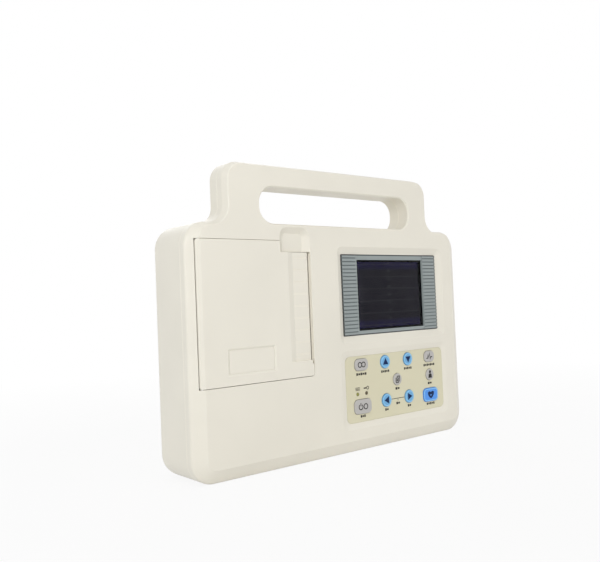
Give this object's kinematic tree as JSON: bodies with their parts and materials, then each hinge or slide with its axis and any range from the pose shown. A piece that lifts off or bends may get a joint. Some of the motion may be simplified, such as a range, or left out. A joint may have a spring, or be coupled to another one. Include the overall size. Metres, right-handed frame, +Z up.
{
  "type": "ecg machine",
  "caption": "Portable ECG recorder: upright clam-shell casing with a top carrying handle, hinged paper door over a roll printer, framed screen and a keypad.",
  "frame": {"origin": "middle of the base, on the surface it stands on", "axes": "+X to the right seen from the front, +Y from the front to the back, +Z up"},
  "size_m": [0.311, 0.058, 0.2365],
  "materials": {
    "casing_ivory": "fine matt texture",
    "door_ivory": "fine matt texture",
    "battery_door_ivory": "fine matt texture",
    "label_ivory": "smooth",
    "bezel_grey": "satin",
    "window_clear": "polished",
    "lcd_dark": "gloss",
    "light_box_white": "matt",
    "keypad_khaki": "fine texture",
    "key_blue": "soft matt",
    "key_bright_blue": "soft matt",
    "key_grey": "soft matt",
    "lamp_tinted": "tinted clear",
    "steel": "bright",
    "bracket_zinc": "zinc plated",
    "foot_rubber": "matt",
    "roller_rubber": "ground",
    "battery_wrap": "shrink wrap",
    "tray_grey": "matt",
    "gear_white": "moulded",
    "paper_white": "thermal paper",
    "spindle_grey": "moulded",
    "head_ceramic": "glazed",
    "sink_aluminium": "extruded",
    "board_green": "solder mask",
    "part_black": "moulded",
    "ribbon_film": "film",
    "pin_brass": "plated",
    "socket_plate": "tinned"
  },
  "bodies": {
    "casing": {"front_cover": "casing_ivory", "rear_cover": "casing_ivory", "handle_back": "casing_ivory", "side_panel": "casing_ivory", "battery_cover": "battery_door_ivory", "screen_bezel": "bezel_grey", "screen_window": "window_clear", "lcd_panel": "lcd_dark", "lcd_backlight": "light_box_white", "keypad_overlay": "keypad_khaki", "indicator_leds": "lamp_tinted", "casing_screws": "steel", "inner_screws": "steel", "door_hinge_pins": "steel", "idler_axle": "steel", "head_pivot_pin": "steel", "head_springs": "steel", "key_domes": "steel", "head_bracket": "bracket_zinc", "input_shield": "bracket_zinc", "socket_jackposts": "bracket_zinc", "stepper_motor": "bracket_zinc", "rear_feet": "foot_rubber", "battery_pack": "battery_wrap", "paper_tray": "tray_grey", "key_board": "board_green", "main_board": "board_green", "power_board": "board_green", "board_chips": "part_black", "buzzer": "part_black", "power_board_parts": "part_black", "switch_frame": "part_black", "mains_inlet": "part_black", "ribbon_cable": "ribbon_film", "inlet_pins": "pin_brass", "ground_terminal": "pin_brass", "patient_socket": "socket_plate"},
    "door": {"paper_door": "door_ivory", "label_plate": "label_ivory", "platen_bushes": "gear_white"},
    "platen": {"platen_shaft": "steel", "platen_rubber": "roller_rubber", "platen_gear": "gear_white"},
    "idler": {"idler_gear": "gear_white"},
    "motor_rotor": {"motor_pinion": "gear_white"},
    "roll": {"paper_roll": "paper_white", "paper_spindle": "spindle_grey"},
    "head": {"print_head": "head_ceramic", "head_heat_sink": "sink_aluminium"},
    "rocker": {"switch_rocker": "part_black"},
    "key_mode_body": {"key_mode": "key_grey"},
    "key_up_body": {"key_up": "key_blue"},
    "key_down_body": {"key_down": "key_blue"},
    "key_filter_body": {"key_filter": "key_grey"},
    "key_copy_body": {"key_copy": "key_grey"},
    "key_patient_body": {"key_patient": "key_grey"},
    "key_left_body": {"key_left": "key_blue"},
    "key_right_body": {"key_right": "key_blue"},
    "key_power_body": {"key_power": "key_grey"},
    "key_print_body": {"key_print": "key_bright_blue"}
  },
  "joints": [
    {"name": "door_hinge", "type": "hinge", "parent": "casing", "child": "door", "pos_m": [-0.13985, -0.0252, 0.123], "axis": [0, 0, -1], "range_deg": [0, 95]},
    {"name": "platen_spin", "type": "hinge", "parent": "door", "child": "platen", "pos_m": [-0.0465, -0.0166, 0.1234], "axis": [0, 0, 1], "continuous": true},
    {"name": "idler_spin", "type": "hinge", "parent": "casing", "child": "idler", "pos_m": [-0.05249, -0.00014, 0.076], "axis": [0, 0, 1], "continuous": true},
    {"name": "motor_spin", "type": "hinge", "parent": "casing", "child": "motor_rotor", "pos_m": [-0.0666, 0.00974, 0.076], "axis": [0, 0, 1], "continuous": true},
    {"name": "roll_spin", "type": "hinge", "parent": "casing", "child": "roll", "pos_m": [-0.1076, 0, 0.1234], "axis": [0, 0, 1], "continuous": true},
    {"name": "head_pivot", "type": "hinge", "parent": "casing", "child": "head", "pos_m": [-0.057, -0.00725, 0.1234], "axis": [0, 0, 1], "range_deg": [0, 2.5], "stiffness_Nm_per_rad": 0.5, "springref_deg": -5.73, "deforming": ["head_springs"]},
    {"name": "rocker_tilt", "type": "hinge", "parent": "casing", "child": "rocker", "pos_m": [0.1488, 0.005, 0.082], "axis": [0, 1, 0], "range_deg": [-16, 0]},
    {"name": "key_mode_press", "type": "slide", "parent": "casing", "child": "key_mode_body", "axis": [0, 1, 0], "range_m": [0, 0.0008], "stiffness_N_per_m": 1200, "springref_m": -0.0008},
    {"name": "key_up_press", "type": "slide", "parent": "casing", "child": "key_up_body", "axis": [0, 1, 0], "range_m": [0, 0.0008], "stiffness_N_per_m": 1200, "springref_m": -0.0008},
    {"name": "key_down_press", "type": "slide", "parent": "casing", "child": "key_down_body", "axis": [0, 1, 0], "range_m": [0, 0.0008], "stiffness_N_per_m": 1200, "springref_m": -0.0008},
    {"name": "key_filter_press", "type": "slide", "parent": "casing", "child": "key_filter_body", "axis": [0, 1, 0], "range_m": [0, 0.0008], "stiffness_N_per_m": 1200, "springref_m": -0.0008},
    {"name": "key_copy_press", "type": "slide", "parent": "casing", "child": "key_copy_body", "axis": [0, 1, 0], "range_m": [0, 0.0008], "stiffness_N_per_m": 1200, "springref_m": -0.0008},
    {"name": "key_patient_press", "type": "slide", "parent": "casing", "child": "key_patient_body", "axis": [0, 1, 0], "range_m": [0, 0.0008], "stiffness_N_per_m": 1200, "springref_m": -0.0008},
    {"name": "key_left_press", "type": "slide", "parent": "casing", "child": "key_left_body", "axis": [0, 1, 0], "range_m": [0, 0.0008], "stiffness_N_per_m": 1200, "springref_m": -0.0008},
    {"name": "key_right_press", "type": "slide", "parent": "casing", "child": "key_right_body", "axis": [0, 1, 0], "range_m": [0, 0.0008], "stiffness_N_per_m": 1200, "springref_m": -0.0008},
    {"name": "key_power_press", "type": "slide", "parent": "casing", "child": "key_power_body", "axis": [0, 1, 0], "range_m": [0, 0.0008], "stiffness_N_per_m": 1200, "springref_m": -0.0008},
    {"name": "key_print_press", "type": "slide", "parent": "casing", "child": "key_print_body", "axis": [0, 1, 0], "range_m": [0, 0.0008], "stiffness_N_per_m": 1200, "springref_m": -0.0008}
  ],
  "couplings": [
    {"joint": "idler_spin", "follows": "platen_spin", "ratio": -0.45},
    {"joint": "motor_spin", "follows": "platen_spin", "ratio": 1.0588}
  ]
}
